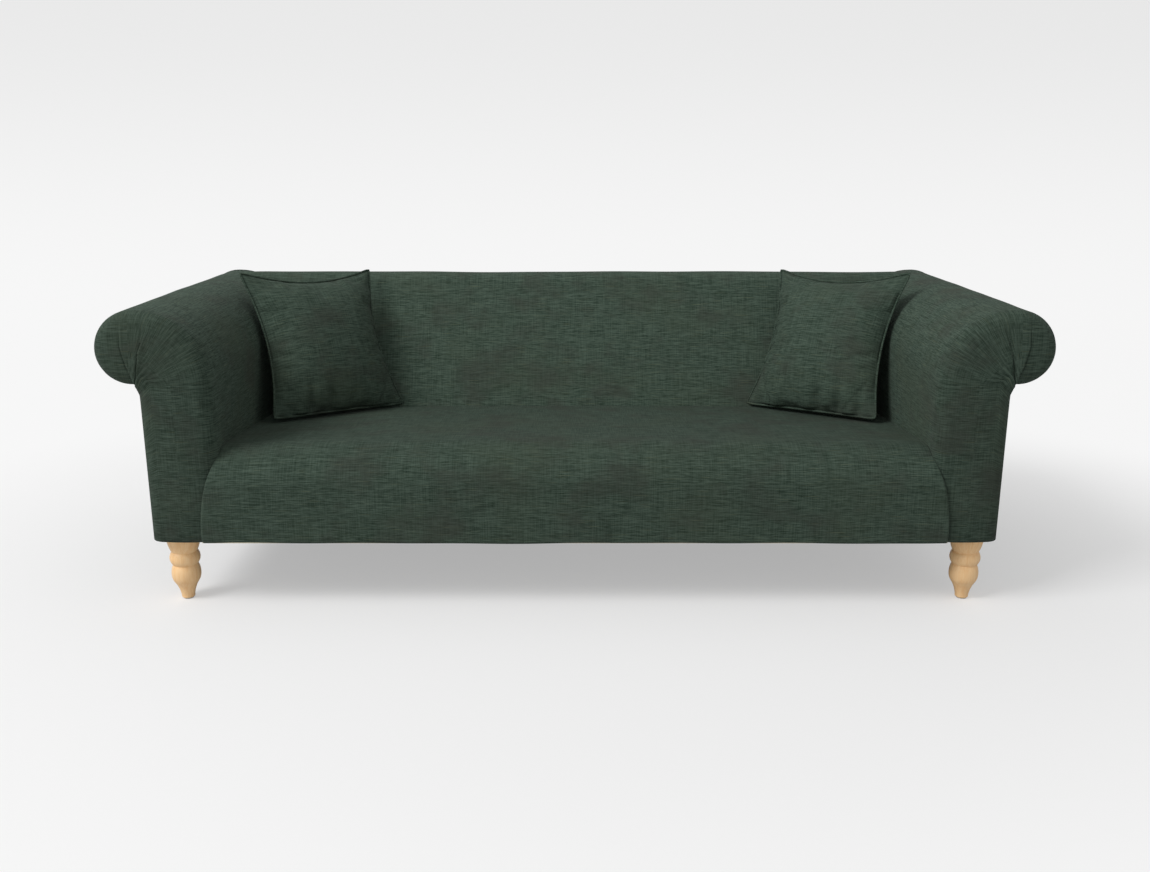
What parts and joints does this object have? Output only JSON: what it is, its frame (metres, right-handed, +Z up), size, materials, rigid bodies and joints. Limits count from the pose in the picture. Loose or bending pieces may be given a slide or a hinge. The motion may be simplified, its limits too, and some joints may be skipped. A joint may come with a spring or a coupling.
{
  "type": "sofa",
  "caption": "Scroll-arm sofa with a raked tight back, sprung bench seat, turned wooden legs and loose scatter cushions in the corners",
  "frame": {"origin": "on the floor, below the centre of the overall box", "axes": "+X along the sofa, to the right as seen from the front, +Y from the front to the back, +Z up"},
  "size_m": [2.4, 0.97, 0.8028],
  "materials": {
    "upholstery_fabric": "slubbed woven cloth",
    "cushion_fabric": "slubbed woven cloth",
    "cushion_fill": "fibre-filled inner",
    "foam": "open-cell foam",
    "felt": "pressed felt",
    "webbing": "woven elastic",
    "dust_cloth": "non-woven cloth",
    "frame_timber": "sawn softwood",
    "frame_ply": "birch plywood",
    "hardboard": "hardboard",
    "leg_wood": "clear-lacquered turned wood",
    "steel": "plain steel",
    "glide_plastic": "moulded plastic"
  },
  "bodies": {
    "sofa": {"front_rail": "frame_timber", "rear_rail": "frame_timber", "side_rail_left": "frame_timber", "side_rail_right": "frame_timber", "spring_rail": "frame_timber", "cross_rails": "frame_timber", "corner_blocks": "frame_timber", "arm_facing_front_left": "frame_ply", "arm_facing_front_right": "frame_ply", "arm_facing_rear_left": "frame_ply", "arm_facing_rear_right": "frame_ply", "arm_lining_left": "hardboard", "arm_lining_right": "hardboard", "arm_tack_rail_left": "frame_timber", "arm_tack_rail_right": "frame_timber", "arm_top_rail_left": "frame_timber", "arm_top_rail_right": "frame_timber", "back_ribs": "frame_ply", "back_top_rail": "frame_timber", "back_webbing": "webbing", "seat_springs": "steel", "spring_clips": "steel", "seat_insulator": "felt", "seat_foam": "foam", "back_foam": "foam", "arm_foam_left": "foam", "arm_foam_right": "foam", "seat_cover": "upholstery_fabric", "inside_back_cover": "upholstery_fabric", "arm_cover_left": "upholstery_fabric", "arm_cover_right": "upholstery_fabric", "outside_arm_left": "upholstery_fabric", "outside_arm_right": "upholstery_fabric", "outside_back": "upholstery_fabric", "dust_cover": "dust_cloth", "leg_front_left": "leg_wood", "leg_front_right": "leg_wood", "leg_rear_left": "leg_wood", "leg_rear_right": "leg_wood", "leg_bolts": "steel", "leg_tee_nuts": "steel", "leg_glides": "glide_plastic"},
    "left_cushion": {"cushion_cover_left": "cushion_fabric", "cushion_pad_left": "cushion_fill", "cushion_piping_left": "cushion_fabric"},
    "right_cushion": {"cushion_cover_right": "cushion_fabric", "cushion_pad_right": "cushion_fill", "cushion_piping_right": "cushion_fabric"}
  },
  "joints": [
    {"name": "left_cushion_lift", "type": "slide", "parent": "sofa", "child": "left_cushion", "axis": [0, 0, 1], "range_m": [0, 0.45]},
    {"name": "right_cushion_lift", "type": "slide", "parent": "sofa", "child": "right_cushion", "axis": [0, 0, 1], "range_m": [0, 0.45]}
  ]
}
